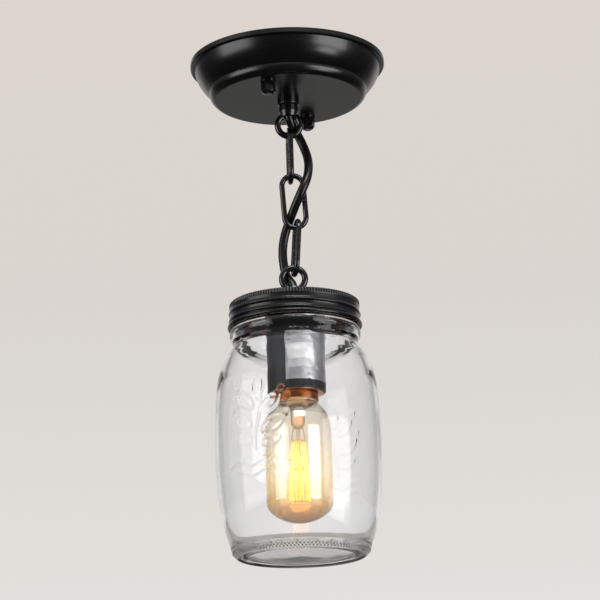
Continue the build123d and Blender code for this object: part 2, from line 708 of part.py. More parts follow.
def make_bulb_glass():
    """Tubular bulb: narrow neck, quick shoulder, straight side and a flattened tip."""
    neck = BULB_NECK_RADIUS
    tip = BULB_TIP_Z
    side_low = tip + BULB_DOME
    side_top = SKIRT_FOOT_Z - BULB_SHOULDER
    neck_top = SKIRT_FOOT_Z + BULB_SKIRT_LENGTH - 1.6
    thin = BULB_RADIUS - BULB_GLASS
    crook = (BULB_RADIUS - 2.0, side_top + BULB_SHOULDER * 0.48)
    glass = turned(
        (neck - BULB_GLASS, neck_top),
        (neck, neck_top),
        (neck, SKIRT_FOOT_Z),
        (neck + 0.5, SKIRT_FOOT_Z - 1.2),
        ((neck + 3.6, SKIRT_FOOT_Z - 4.6), crook),
        ((BULB_RADIUS - 0.5, side_top + BULB_SHOULDER * 0.22), (BULB_RADIUS, side_top)),
        (BULB_RADIUS, side_low),
        (dome(0.0, "corner"), dome(0.0, "meet")),
        (dome(0.0, "cap"), (0.0, tip)),
        (0.0, tip + BULB_GLASS),
        (dome(BULB_GLASS, "cap"), dome(BULB_GLASS, "meet")),
        (dome(BULB_GLASS, "corner"), (thin, side_low)),
        (thin, side_top),
        ((BULB_RADIUS - 0.5 - BULB_GLASS, side_top + BULB_SHOULDER * 0.22), (crook[0] - BULB_GLASS, crook[1] - 0.3)),
        ((neck + 3.0 - BULB_GLASS * 0.6, SKIRT_FOOT_Z - 5.1), (neck - BULB_GLASS, SKIRT_FOOT_Z - 1.4)),
    )
    keep("bulb_glass", glass)


def make_bulb_mount():
    """Glass stem and rod, the wires that hold the filament, and the caged filament."""
    foot_z = BULB_TIP_Z + FILAMENT_TIP_SPACE
    top_z = foot_z + FILAMENT_LENGTH
    flare = BULB_NECK_RADIUS - BULB_GLASS - 0.6
    stem = turned(
        (0.0, SKIRT_FOOT_Z + 1.5),
        (flare, SKIRT_FOOT_Z + 1.5),
        (flare, SKIRT_FOOT_Z + 0.7),
        ((6.4, SKIRT_FOOT_Z - 2.4), (4.8, SKIRT_FOOT_Z - 7.0)),
        (4.6, SKIRT_FOOT_Z - 13.0),
        ((3.9, SKIRT_FOOT_Z - 16.5), (STEM_ROD_RADIUS, SKIRT_FOOT_Z - 18.4)),
        (STEM_ROD_RADIUS, foot_z - 1.6),
        (0.0, foot_z - 1.6),
    )
    keep("bulb_stem", stem)

    step = 360 / FILAMENT_RUNS
    corners = []
    for index in range(FILAMENT_RUNS):
        angle = math.radians(index * step + step / 2)
        upper = (FILAMENT_TOP_RADIUS * math.cos(angle), FILAMENT_TOP_RADIUS * math.sin(angle), top_z)
        lower = (FILAMENT_FOOT_RADIUS * math.cos(angle), FILAMENT_FOOT_RADIUS * math.sin(angle), foot_z)
        corners += [upper, lower] if index % 2 == 0 else [lower, upper]
    path = Polyline(*corners)
    start = Plane(origin=corners[0], z_dir=Vector(*corners[1]) - Vector(*corners[0]))
    wire = start * Circle(FILAMENT_WIRE / 2)
    keep("bulb_filament", sweep(wire, path, transition=Transition.RIGHT))

    supports = []
    stand_off = (FILAMENT_WIRE + SUPPORT_WIRE) / 2 + 0.05
    reach = STEM_ROD_RADIUS + 0.02
    for index in range(FILAMENT_RUNS // 2):
        low_angle = math.radians((index * 2 + 1) * step)
        high_angle = math.radians((index * 2) * step)
        for angle, radius, height in (
            (low_angle, FILAMENT_FOOT_RADIUS, foot_z + stand_off),
            (high_angle, FILAMENT_TOP_RADIUS, top_z - stand_off),
        ):
            inner = (reach * math.cos(angle), reach * math.sin(angle), height)
            outer = (radius * math.cos(angle), radius * math.sin(angle), height)
            if index or height < top_z - 2:
                supports.append(between(inner, outer, SUPPORT_WIRE / 2))
    keep("filament_supports", Compound(children=supports))


make_canopy()
make_crossbar()
make_canopy_fasteners()
make_loop("canopy", CANOPY_FLAT_Z, False)
make_canopy_stem()
make_chain()
make_cord()
make_loop("lid", LID_TOP_Z, True)
make_lid()
make_lampholder()
make_band()
make_jar()
make_bulb_base()
make_bulb_glass()
make_bulb_mount()

for name, shape in made.items():
    box = shape.bounding_box()
    print(f"{name:22s} z {box.min.Z:8.2f} to {box.max.Z:8.2f}  volume {shape.volume:9.1f}")
print("lid top", round(LID_TOP_Z, 2), "jar foot", round(JAR_FOOT_Z, 2), "bulb tip", round(BULB_TIP_Z, 2))
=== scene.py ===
import math

import bmesh
import bpy
import numpy as np
from mathutils import Matrix, Vector


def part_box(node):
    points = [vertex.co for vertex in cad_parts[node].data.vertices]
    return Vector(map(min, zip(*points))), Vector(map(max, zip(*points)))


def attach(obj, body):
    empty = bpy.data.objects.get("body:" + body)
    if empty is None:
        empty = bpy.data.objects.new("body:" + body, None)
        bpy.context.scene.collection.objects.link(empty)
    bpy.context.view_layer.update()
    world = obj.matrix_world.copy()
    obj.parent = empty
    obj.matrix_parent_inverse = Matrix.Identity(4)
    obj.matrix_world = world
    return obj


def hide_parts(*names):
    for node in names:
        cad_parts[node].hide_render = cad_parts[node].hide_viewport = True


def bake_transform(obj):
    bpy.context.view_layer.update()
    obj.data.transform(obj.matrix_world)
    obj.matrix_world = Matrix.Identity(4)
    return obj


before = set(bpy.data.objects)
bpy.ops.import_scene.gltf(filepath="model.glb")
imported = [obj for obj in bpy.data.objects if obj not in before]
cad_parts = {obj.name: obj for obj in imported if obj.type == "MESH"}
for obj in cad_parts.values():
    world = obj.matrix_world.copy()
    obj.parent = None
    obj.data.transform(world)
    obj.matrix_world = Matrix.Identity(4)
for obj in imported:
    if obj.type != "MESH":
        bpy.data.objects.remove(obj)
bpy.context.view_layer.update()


class Field:
    """A value, colour or vector over a surface. Sums on it become shader nodes."""

    def __init__(self, tree, socket=None):
        self.tree = tree
        self.socket = socket

    def node(self, kind, sockets=None, out=0, **settings):
        """Any shader node: its settings first, then the values or links of its sockets."""
        made = self.tree.nodes.new(kind)
        for name, value in settings.items():
            if name == "stops":
                ramp = made.color_ramp.elements
                while len(ramp) < len(value):
                    ramp.new(0.5)
                for stop, (place, colour) in zip(ramp, value):
                    stop.position = place
                    stop.color = (*colour, 1.0)
            else:
                setattr(made, name, value)
        for key, value in (sockets or {}).items():
            if isinstance(value, Field):
                self.tree.links.new(value.socket, made.inputs[key])
            else:
                made.inputs[key].default_value = value
        return Field(self.tree, made.outputs[out] if made.outputs else None)

    def maths(self, operation, *values):
        return self.node("ShaderNodeMath", dict(enumerate(values)), operation=operation)

    def clamped(self):
        return self.maths("MINIMUM", self.maths("MAXIMUM", self, 0.0), 1.0)

    def ramp(self, *stops):
        return self.node("ShaderNodeValToRGB", {"Fac": self}, stops=stops)

    def __add__(self, other):
        return self.maths("ADD", self, other)

    def __sub__(self, other):
        return self.maths("SUBTRACT", self, other)

    def __mul__(self, other):
        return self.maths("MULTIPLY", self, other)

    def __rsub__(self, other):
        return self.maths("SUBTRACT", other, self)

    __radd__ = __add__
    __rmul__ = __mul__


# The studio: a plain pale wall and floor, wide soft boxes level with the jar at
# both sides, a small low one, one above, and the camera below, looking up.
CAMERA_PLACE = Vector((0.0, -1.5442, -0.6083))
CAMERA_PITCH = math.radians(15.93)
CAMERA_YAW = math.radians(0.144)
CAMERA_ROLL = math.radians(-1.745)
CAMERA_LENS = 36.0 * 2421.4 / 600.0
FLOOR_HEIGHT = -1.0
LAMP_CENTRE = (0.0, 0.0, -0.17)

camera = bpy.data.objects.new("camera", bpy.data.cameras.new("camera"))
bpy.context.scene.collection.objects.link(camera)
bpy.context.scene.camera = camera
ahead = Vector((
    math.sin(CAMERA_YAW) * math.cos(CAMERA_PITCH),
    math.cos(CAMERA_YAW) * math.cos(CAMERA_PITCH),
    math.sin(CAMERA_PITCH),
))
level = Vector((math.cos(CAMERA_YAW), -math.sin(CAMERA_YAW), 0.0))
above = level.cross(ahead)
side = math.cos(CAMERA_ROLL) * level + math.sin(CAMERA_ROLL) * above
top = -math.sin(CAMERA_ROLL) * level + math.cos(CAMERA_ROLL) * above
camera.matrix_world = Matrix.Translation(CAMERA_PLACE) @ Matrix((side, top, -ahead)).transposed().to_4x4()
camera.data.lens = CAMERA_LENS
camera.data.sensor_width = 36.0
camera.data.clip_start = 0.01
bpy.context.scene.view_settings.view_transform = "Standard"


def soft_box(name, place, width, height, power):
    """A rectangular lamp at a place, turned towards the object and not seen itself."""
    lamp = bpy.data.lights.new(name, "AREA")
    lamp.shape = "RECTANGLE"
    lamp.size = width
    lamp.size_y = height
    lamp.energy = power
    holder = bpy.data.objects.new(name, lamp)
    holder.location = place
    holder.rotation_euler = (Vector(LAMP_CENTRE) - Vector(place)).to_track_quat("-Z", "Y").to_euler()
    holder.visible_camera = False
    bpy.context.scene.collection.objects.link(holder)


soft_box("left_box", (-1.45, -0.68, -0.05), 1.20, 1.00, 5.6)
soft_box("right_box", (1.30, -0.93, -0.20), 1.20, 0.75, 5.8)
soft_box("low_right_box", (0.60, -0.43, -0.44), 0.34, 0.22, 0.55)
soft_box("top_box", (0.2, -1.2, 1.5), 1.2, 1.0, 16.0)

world = bpy.data.worlds.new("studio")
bpy.context.scene.world = world
world.use_nodes = True
world.node_tree.nodes.clear()
air = Field(world.node_tree)
direct = air.node("ShaderNodeLightPath", out="Is Camera Ray")
mirrored = air.node("ShaderNodeLightPath", out="Is Glossy Ray")
through = air.node("ShaderNodeLightPath", out="Is Transmission Ray")
seen = (direct + mirrored + through).clamped()
way = air.node("ShaderNodeTexCoord", out="Generated")
before = (5.2 - 6.0 * air.node("ShaderNodeSeparateXYZ", {0: way}, out="Y")).clamped()
tall = air.node("ShaderNodeSeparateXYZ", {0: way}, out="Z") * 0.5 + 0.5
room = tall.ramp(
    (0.30, (0.015, 0.015, 0.017)), (0.50, (0.04, 0.04, 0.045)), (0.72, (0.14, 0.14, 0.15)),
    (0.86, (0.34, 0.35, 0.37)), (1.00, (0.25, 0.25, 0.26)))
wall = tall.ramp(
    (0.43, (0.250, 0.245, 0.240)), (0.48, (0.700, 0.672, 0.640)), (0.56, (0.790, 0.772, 0.750)),
    (0.635, (0.700, 0.665, 0.630)), (0.690, (0.715, 0.668, 0.622)))
pale = air.node("ShaderNodeMix", {0: through * 0.55, 6: wall, 7: (0.88, 0.88, 0.885, 1.0)}, out=2, data_type="RGBA")
shown = air.node("ShaderNodeMix", {0: mirrored * before, 6: pale, 7: room}, out=2, data_type="RGBA")
lit_air = air.node("ShaderNodeBackground", {"Color": (1.0, 0.98, 0.95, 1.0), "Strength": 0.5})
shown_air = air.node("ShaderNodeBackground", {"Color": shown, "Strength": 1.0})
both_airs = air.node("ShaderNodeMixShader", {0: seen, 1: lit_air, 2: shown_air})
air.node("ShaderNodeOutputWorld", {"Surface": both_airs})


def new_finish(name):
    """An empty material, and the field that its pattern is built on."""
    material = bpy.data.materials.new(name)
    material.use_nodes = True
    material.node_tree.nodes.clear()
    return material, Field(material.node_tree)


def close_finish(field, sockets, clear=None):
    """Close a material. A glass lets lamps through: shadow rays meet a clear shader."""
    face = field.node("ShaderNodeBsdfPrincipled", sockets)
    if clear:
        ray = field.node("ShaderNodeLightPath", out="Is Shadow Ray")
        opening = field.node("ShaderNodeBsdfTransparent", {"Color": clear})
        face = field.node("ShaderNodeMixShader", {0: ray, 1: face, 2: opening})
    field.node("ShaderNodeOutputMaterial", {"Surface": face})


def cloud(field, scale, detail=2.0, stretch=(1.0, 1.0, 1.0)):
    """Soft patches over a piece, so many to the metre."""
    spot = field.node("ShaderNodeTexCoord", out="Object")
    drawn = field.node("ShaderNodeVectorMath", {0: spot, 1: stretch}, operation="MULTIPLY")
    return field.node("ShaderNodeTexNoise", {"Vector": drawn, "Scale": scale, "Detail": detail})


def relief(height, distance, strength):
    """Bump from a height field, for a shader's normal."""
    return height.node("ShaderNodeBump", {"Height": height, "Distance": distance, "Strength": strength})


def mesh_piece(name, bm, sharp=40.0):
    """Turn a finished bmesh into a piece with smooth faces and crisp edges."""
    bmesh.ops.recalc_face_normals(bm, faces=bm.faces)
    mesh = bpy.data.meshes.new(name)
    bm.to_mesh(mesh)
    bm.free()
    mesh.shade_smooth()
    mesh.set_sharp_from_angle(angle=math.radians(sharp))
    piece = bpy.data.objects.new(name, mesh)
    bpy.context.scene.collection.objects.link(piece)
    return piece


floor_paint, field = new_finish("floor_paint")
close_finish(field, {
    "Base Color": cloud(field, 3.0, 4.0).ramp((0.3, (0.79, 0.765, 0.735)), (0.7, (0.81, 0.785, 0.755))),
    "Roughness": 0.8,
})
bm = bmesh.new()
bmesh.ops.create_circle(bm, cap_ends=True, segments=96, radius=60.0)
floor = mesh_piece("floor", bm)
floor.location = (0, 0, FLOOR_HEIGHT)
floor.data.materials.append(floor_paint)
floor.visible_glossy = False


# Crossbar and its screws: a strip of zinc plated steel that screws to the
# outlet box, with a green ground screw and two threaded studs staked in it.
zinc, field = new_finish("zinc_plate")
tarnish = cloud(field, 90.0, 3.0)
close_finish(field, {
    "Metallic": 1.0,
    "Base Color": tarnish.ramp((0.3, (0.52, 0.51, 0.46)), (0.55, (0.62, 0.61, 0.57)), (0.75, (0.58, 0.60, 0.63))),
    "Roughness": tarnish * 0.25 + 0.24,
    "Normal": relief(cloud(field, 900.0), 0.0001, 0.3),
})

green, field = new_finish("green_dye")
close_finish(field, {
    "Metallic": 0.7,
    "Base Color": cloud(field, 300.0).ramp((0.3, (0.03, 0.22, 0.08)), (0.7, (0.08, 0.36, 0.15))),
    "Roughness": 0.4,
})


def dress(material, *names):
    """Give pieces of the frame their material."""
    for name in names:
        piece = bpy.data.objects[name]
        piece.data.materials.clear()
        piece.data.materials.append(material)


dress(zinc, "crossbar", "canopy_studs", "canopy_nipple", "canopy_lock_washer", "canopy_locknut")
dress(green, "ground_screw")


# Canopy: a shallow bowl spun from sheet steel and powder coated satin black,
# a little softer in gloss where hands have held it, shut by two cap nuts.
powder_coat, field = new_finish("canopy_powder_coat")
wear = cloud(field, 22.0, 4.0)
close_finish(field, {
    "Base Color": wear.ramp((0.3, (0.0025, 0.0025, 0.0030)), (0.7, (0.0050, 0.0050, 0.0055))),
    "Roughness": wear * 0.10 + 0.20,
    "Specular IOR Level": 1.25,
    "Normal": relief(cloud(field, 1400.0), 0.00008, 0.4),
})
dress(powder_coat, "canopy")


# Cap nuts, check rings, cast loops and chain: steel and zinc castings under a
# gloss black enamel that is a little thick and uneven.
enamel, field = new_finish("black_enamel")
runs = cloud(field, 130.0, 1.0)
close_finish(field, {
    "Base Color": runs.ramp((0.3, (0.0030, 0.0030, 0.0035)), (0.7, (0.0060, 0.0060, 0.0070))),
    "Roughness": runs * 0.10 + 0.14,
    "Specular IOR Level": 1.0,
    "Coat Weight": 0.7,
    "Coat Roughness": 0.08,
    "Normal": relief(runs, 0.0003, 0.05),
})
dress(enamel, "canopy_cap_nuts", "canopy_check_ring", "canopy_loop", "lid_check_ring", "lid_loop")
dress(enamel, "chain_link_1", "chain_link_2", "chain_link_3")


# Cord bushing: black nylon, pressed in the pipe's upper end.
nylon, field = new_finish("black_nylon")
close_finish(field, {
    "Base Color": cloud(field, 700.0).ramp((0.2, (0.02, 0.02, 0.02)), (0.8, (0.035, 0.035, 0.035))),
    "Roughness": 0.5,
})
dress(nylon, "cord_bushing")


# Lamp cord: a round black PVC jacket that comes out of the canopy's loop, winds
# once through the chain and goes down into the lid's loop.
CORD_DIAMETER = 0.006
CORD_ROUTE = [
    (0.0, 0.0, -0.0225),
    (0.0, 0.0, -0.0310),
    (-0.0001, 0.0005, -0.0400),
    (0.0039, 0.0054, -0.0464),
    (0.0069, 0.0064, -0.0516),
    (0.0100, 0.0050, -0.0596),
    (0.0122, 0.0022, -0.0678),
    (0.0125, -0.0014, -0.0763),
    (0.0110, -0.0047, -0.0848),
    (0.0076, -0.0058, -0.0926),
    (0.0039, -0.0026, -0.0996),
    (0.0006, 0.0020, -0.1062),
    (-0.0028, 0.0056, -0.1136),
    (-0.0056, 0.0068, -0.1222),
    (-0.0069, 0.0070, -0.1312),
    (-0.0065, 0.0065, -0.1400),
    (-0.0054, 0.0061, -0.1471),
    (-0.0038, 0.0042, -0.1517),
    (0.0002, 0.0007, -0.1574),
    (0.0, 0.0, -0.1654),
]
route = bpy.data.curves.new("cord_route", "CURVE")
route.dimensions = "3D"
spline = route.splines.new("NURBS")
spline.points.add(len(CORD_ROUTE) - 1)
for point, place in zip(spline.points, CORD_ROUTE):
    point.co = (*place, 1.0)
spline.order_u = 3
spline.use_endpoint_u = True
route.resolution_u = 16
route_object = bpy.data.objects.new("cord_route", route)
bpy.context.scene.collection.objects.link(route_object)
bpy.context.view_layer.update()
line_mesh = bpy.data.meshes.new_from_object(route_object)
cord_line = [vertex.co.copy() for vertex in line_mesh.vertices]
bpy.data.meshes.remove(line_mesh)
bpy.data.objects.remove(route_object)


def add_tube(bm, line, radius, sides):
    """Add a round tube whose rings follow a line, without twisting, closed at both ends."""
    rings = []
    along = (line[1] - line[0]).normalized()
    across = along.orthogonal().normalized()
    for index, centre in enumerate(line):
        earlier = line[max(index - 1, 0)]
        later = line[min(index + 1, len(line) - 1)]
        along = (later - earlier).normalized()
        across = (across - along * across.dot(along)).normalized()
        other = along.cross(across)
        ring = []
        for step in range(sides):
            angle = 2 * math.pi * step / sides
            ring.append(bm.verts.new(centre + radius * (across * math.cos(angle) + other * math.sin(angle))))
        rings.append(ring)
    for low, high in zip(rings, rings[1:]):
        for step in range(sides):
            beside = (step + 1) % sides
            bm.faces.new((low[step], low[beside], high[beside], high[step]))
    bm.faces.new(rings[0][::-1])
    bm.faces.new(rings[-1])


jacket, field = new_finish("pvc_jacket")
dust = cloud(field, 120.0, 3.0)
close_finish(field, {
    "Base Color": dust.ramp((0.3, (0.0035, 0.0035, 0.0040)), (0.7, (0.0075, 0.0075, 0.0080))),
    "Roughness": dust * 0.12 + 0.20,
    "Specular IOR Level": 0.75,
    "Normal": relief(dust, 0.0004, 0.12),
})

heights = [place.z for place in cord_line]
cuts = [0]
for limit in (-0.0655, -0.0985, -0.1310):
    cuts.append(next(index for index, height in enumerate(heights) if height < limit))
cuts.append(len(cord_line) - 1)
cord_bends = [
    ("ceiling_mount", "upper_link", (0, 0, -0.047), (0, 0, -0.0655)),
    ("upper_link", "middle_link", (0, 0, -0.076), (0, 0, -0.094)),
    ("middle_link", "lower_link", (0, 0, -0.104), (0, 0, -0.124)),
    ("lower_link", "pendant", (0, 0, -0.140), (0, 0, -0.156)),
]
for number, (start, end, bend) in enumerate(zip(cuts, cuts[1:], cord_bends), 1):
    stretch = cord_line[start:end + 1]
    bm = bmesh.new()
    add_tube(bm, stretch, CORD_DIAMETER / 2, 24)
    piece = mesh_piece(f"cord_stretch_{number}", bm)
    piece.data.materials.append(jacket)
    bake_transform(piece)
    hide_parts("lamp_cord")


# Lid: a pressed steel disc in the band's black coat, with a red sealing ring
# under it, carried with the lampholder by a length of threaded pipe.
band_low, band_high = (corner[2] * 1000 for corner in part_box("screw_band"))
BAND_RIBS = 140
BAND_RIB_HEIGHT = 3.3

band_coat, field = new_finish("band_coat")
wear = cloud(field, 60.0, 3.0)
coat = wear.ramp((0.3, (0.0030, 0.0030, 0.0038)), (0.7, (0.0060, 0.0060, 0.0070)))
spot = field.node("ShaderNodeTexCoord", out="Object")
x, y, z = (field.node("ShaderNodeSeparateXYZ", {0: spot}, out=axis) for axis in "XYZ")
# Each knurl crest outside the band's top edge is painted a lighter grey: a painted highlight on every crest.
painted_crest_highlight = (field.maths("COSINE", field.maths("ARCTAN2", y, x) * BAND_RIBS) * 1.5 - 0.4).clamped()
on_rib = ((z - (band_high - BAND_RIB_HEIGHT) * 0.001) * 3000.0).clamped()
outside = ((field.maths("SQRT", x * x + y * y) - 0.0424) * 4000.0).clamped()
close_finish(field, {
    "Base Color": field.node("ShaderNodeMix", {0: painted_crest_highlight * on_rib * outside, 6: coat, 7: (0.085, 0.085, 0.088, 1.0)},
                             out=2, data_type="RGBA"),
    "Roughness": wear * 0.12 + 0.20,
    "Specular IOR Level": 0.9,
    "Normal": relief(wear, 0.0002, 0.15),
})
sealing, field = new_finish("sealing_compound")
close_finish(field, {
    "Base Color": cloud(field, 200.0).ramp((0.3, (0.085, 0.010, 0.009)), (0.7, (0.130, 0.018, 0.016))),
    "Roughness": 0.55,
})
dress(band_coat, "lid_disc")
dress(sealing, "lid_gasket")
dress(zinc, "lid_nipple", "lid_lock_washer", "lid_locknut")


# Screw band: tinplate rolled to a ring, knurled round its top edge, with the
# jar's thread rolled through it and its foot curled outward.
BAND_COLUMNS = 700
BAND_RIB_DEPTH = 0.55
BAND_RIB_RADIUS = 43.15
BAND_BODY_RADIUS = 42.75
BAND_THREAD_DEPTH = 1.0
BAND_OPENING = 36.4
BAND_SHEET = 0.45
BAND_CURL_RADIUS = 1.55
THREAD_PITCH = 5.08


def arc_points(start, through, end, pitch):
    """Points after the first along an arc through three places, about a pitch apart."""
    a, b, c = complex(*start), complex(*through), complex(*end)
    turned = (c - a) / (b - a)
    if abs(turned.imag) < 1e-9:
        return line_points(start, end, pitch)
    middle = (b - a) * (turned - abs(turned) ** 2) / (2j * turned.imag) + a
    radius = abs(a - middle)
    first = np.angle(a - middle)
    halfway = np.angle((b - middle) / (a - middle))
    sweep = np.angle((c - middle) / (a - middle))
    if halfway * sweep < 0:
        sweep += math.copysign(2 * math.pi, halfway)
    count = max(2, round(abs(sweep) * radius / pitch))
    angles = first + sweep * np.arange(1, count + 1) / count
    return [(middle.real + radius * math.cos(t), middle.imag + radius * math.sin(t)) for t in angles]


def line_points(start, end, pitch):
    """Points after the first along a straight line, about a pitch apart."""
    count = max(1, round(math.dist(start, end) / pitch))
    return [tuple(np.array(start) + (np.array(end) - start) * step / count) for step in range(1, count + 1)]


def drawn(start, *path, pitch=0.8):
    """An outline in mm. A step is a point for a line, or two points for an arc."""
    points = [start]
    for step in path:
        if isinstance(step[0], tuple):
            points += arc_points(points[-1], *step, pitch)
        else:
            points += line_points(points[-1], step, pitch)
    return points


def spun(name, outline, columns, shaped=None, sharp=40.0):
    """A closed outline in mm spun about the lamp's axis. shaped may move its points."""
    rows = np.array(outline)
    on_axis = rows[0, 0] < 0.001
    radius = np.repeat(rows[:, :1], columns, axis=1)
    height = np.repeat(rows[:, 1:], columns, axis=1)
    turn = np.tile(np.arange(columns) * 2 * math.pi / columns, (len(rows), 1))
    if shaped:
        radius, height = shaped(radius, height, turn)
    places = np.stack((radius * np.cos(turn), radius * np.sin(turn), height), axis=-1) * 0.001
    low = np.arange(len(rows) - 1 if on_axis else len(rows))[:, None] * columns
    high = (low + columns) % (len(rows) * columns)
    here = np.arange(columns)[None, :]
    beside = (here + 1) % columns
    quads = np.stack((low + here, low + beside, high + beside, high + here), axis=-1)
    raw = bpy.data.meshes.new("raw")
    raw.from_pydata(places.reshape(-1, 3).tolist(), [], quads.reshape(-1, 4).tolist())
    bm = bmesh.new()
    bm.from_mesh(raw)
    bpy.data.meshes.remove(raw)
    if on_axis:
        bmesh.ops.remove_doubles(bm, verts=bm.verts, dist=1e-6)
    return mesh_piece(name, bm, sharp)


def bump_at(distance, half_width):
    """A smooth hump, 1 at its middle and 0 from half_width on."""
    return np.cos(np.clip(distance / half_width, -1, 1) * math.pi / 2) ** 2


def thread_height(height, turn, start, end, pitch, half_width):
    """Height of a helical ridge that runs from one height down to another, 0 to 1."""
    ridge = np.zeros_like(height)
    for lap in range(-1, int((start - end) / pitch) + 2):
        centre = start - pitch * (lap + turn / (2 * math.pi))
        inside = (centre < start + 0.01) & (centre > end - 0.01)
        fade = np.clip((start - centre) / 0.8, 0, 1) * np.clip((centre - end) / 0.8, 0, 1)
        ridge = np.maximum(ridge, bump_at(height - centre, half_width) * fade * inside)
    return ridge


rib_foot = band_high - BAND_RIB_HEIGHT
curl_top = band_low + 2 * BAND_CURL_RADIUS
body = BAND_BODY_RADIUS
curl_middle = (body + 0.30, band_low + BAND_CURL_RADIUS)


def curl_point(angle, radius=BAND_CURL_RADIUS):
    """A point of the band's curled foot, by its angle round the curl."""
    return (curl_middle[0] + radius * math.cos(math.radians(angle)),
            curl_middle[1] + radius * math.sin(math.radians(angle)))


band_outside = drawn(
    (BAND_OPENING, band_high - BAND_SHEET),
    (BAND_OPENING, band_high),
    (BAND_RIB_RADIUS - 1.0, band_high),
    ((BAND_RIB_RADIUS - 0.25, band_high - 0.25), (BAND_RIB_RADIUS, band_high - 1.0)),
    (BAND_RIB_RADIUS, rib_foot + 0.5),
    (body, rib_foot),
    (body, curl_top + 0.7),
    (curl_point(75), curl_point(40)),
    (curl_point(-25), curl_point(-90)),
    (curl_point(-125), curl_point(-160)),
    pitch=0.38,
)
band_inside = drawn(
    curl_point(-160, 0.95),
    (curl_point(-90, 0.95), curl_point(-20, 0.95)),
    (curl_point(60, 0.95), curl_point(130, 0.95)),
    (body - BAND_SHEET, curl_top + 0.5),
    (body - BAND_SHEET, band_high - BAND_SHEET),
    pitch=0.6,
)


def rolled_band(radius, height, turn):
    """Knurl on the top edge and the thread that is rolled through the wall."""
    ribs = np.clip(1.4 * np.abs(np.cos(turn * BAND_RIBS / 2)) - 0.2, 0, 1)
    on_edge = np.clip((height - rib_foot - 0.2) / 0.5, 0, 1) * (radius > BAND_RIB_RADIUS - 0.6)
    radius = radius - BAND_RIB_DEPTH * (1 - ribs) * on_edge
    wall = (radius < body + 0.05) & (radius > body - BAND_SHEET - 0.05) & (height < rib_foot + 0.01)
    thread = thread_height(height, turn, rib_foot - 0.5, curl_top + 0.3, THREAD_PITCH, 1.75)
    return radius + BAND_THREAD_DEPTH * thread * wall, height


band = spun("threaded_band", band_outside + band_inside, BAND_COLUMNS, rolled_band, sharp=50.0)
band.data.materials.append(band_coat)
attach(band, "band")
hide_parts("screw_band")


# Jar: clear pressed glass with a threaded finish, a full shoulder and a knurled
# foot. Sprigs of leaves stand out from its sides, above two drawn waves.
JAR_COLUMNS = 448
JAR_RADIUS = 54.4
JAR_WALL = 2.8
JAR_FLOOR = 4.0
JAR_PUSH_UP = 1.5
JAR_FINISH_RADIUS = 40.8
JAR_THREAD_DEPTH = 0.85
JAR_BEAD_RADIUS = 43.3
JAR_WAIST_RADIUS = 41.2
JAR_FOOT_RADIUS = 39.0
JAR_FOOT_BARS = 112
JAR_WAVINESS = 0.28
SPRIG_TURNS = (-28.0, 152.0)
SPRIG_HEIGHT = -261.0
SPRIG_DEPTH = 0.8
SPRIG_LEAVES = [
    # sideways, up, lean from upright, half length, half width
    (0.5, 24.0, -8.0, 8.5, 3.6),
    (-9.5, 15.5, 52.0, 8.0, 3.4),
    (9.0, 12.0, -50.0, 8.0, 3.4),
    (-12.0, 2.0, 64.0, 8.5, 3.7),
    (10.5, -2.0, -62.0, 8.5, 3.7),
    (-10.5, -9.5, 74.0, 7.0, 3.0),
    (9.5, -12.0, -72.0, 6.5, 2.8),
]
SPRIG_SEEDS = [(16.5, 20.5, 1.9), (19.5, 16.0, 1.4), (-17.5, 23.5, 1.6), (-20.5, 10.0, 1.3), (19.0, 5.0, 1.3)]

jar_low, jar_rim = (corner[2] * 1000 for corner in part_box("glass_jar"))
bead_low = jar_rim - 21.8
waist = jar_rim - 24.0
heel = (JAR_RADIUS - 9.6, jar_low + 5.5)
shoulder = (JAR_RADIUS - 2.1, jar_rim - 53.4)
chest = (JAR_RADIUS - 1.6, jar_rim - 129.4)
bore = JAR_FINISH_RADIUS - JAR_WALL
jar_floor = jar_low + JAR_FLOOR
jar_base = drawn(
    (0.0, jar_low + JAR_PUSH_UP),
    (JAR_FOOT_RADIUS - 5.5, jar_low + JAR_PUSH_UP - 0.6),
    pitch=4.0,
)
jar_foot = drawn(
    jar_base[-1],
    (JAR_FOOT_RADIUS - 3.6, jar_low),
    (JAR_FOOT_RADIUS, jar_low),
    ((JAR_FOOT_RADIUS + 4.2, jar_low + 1.6), heel),
    pitch=0.8,
)
jar_side = drawn(
    heel,
    ((JAR_RADIUS - 5.2, jar_low + 18.5), chest),
    ((JAR_RADIUS, jar_rim - 92.0), shoulder),
    pitch=1.16,
)
jar_top = drawn(
    shoulder,
    ((JAR_RADIUS - 6.3, jar_rim - 38.4), (JAR_WAIST_RADIUS + 0.3, waist - 3.6)),
    ((JAR_WAIST_RADIUS, waist - 1.6), (JAR_WAIST_RADIUS + 0.3, waist)),
    (JAR_BEAD_RADIUS - 0.6, bead_low - 0.4),
    ((JAR_BEAD_RADIUS, bead_low + 2.8), (JAR_BEAD_RADIUS - 0.5, bead_low + 5.6)),
    (JAR_FINISH_RADIUS, bead_low + 6.2),
    (JAR_FINISH_RADIUS, jar_rim - 1.2),
    ((JAR_FINISH_RADIUS - 0.36, jar_rim - 0.36), (JAR_FINISH_RADIUS - 1.2, jar_rim)),
    pitch=1.5,
)
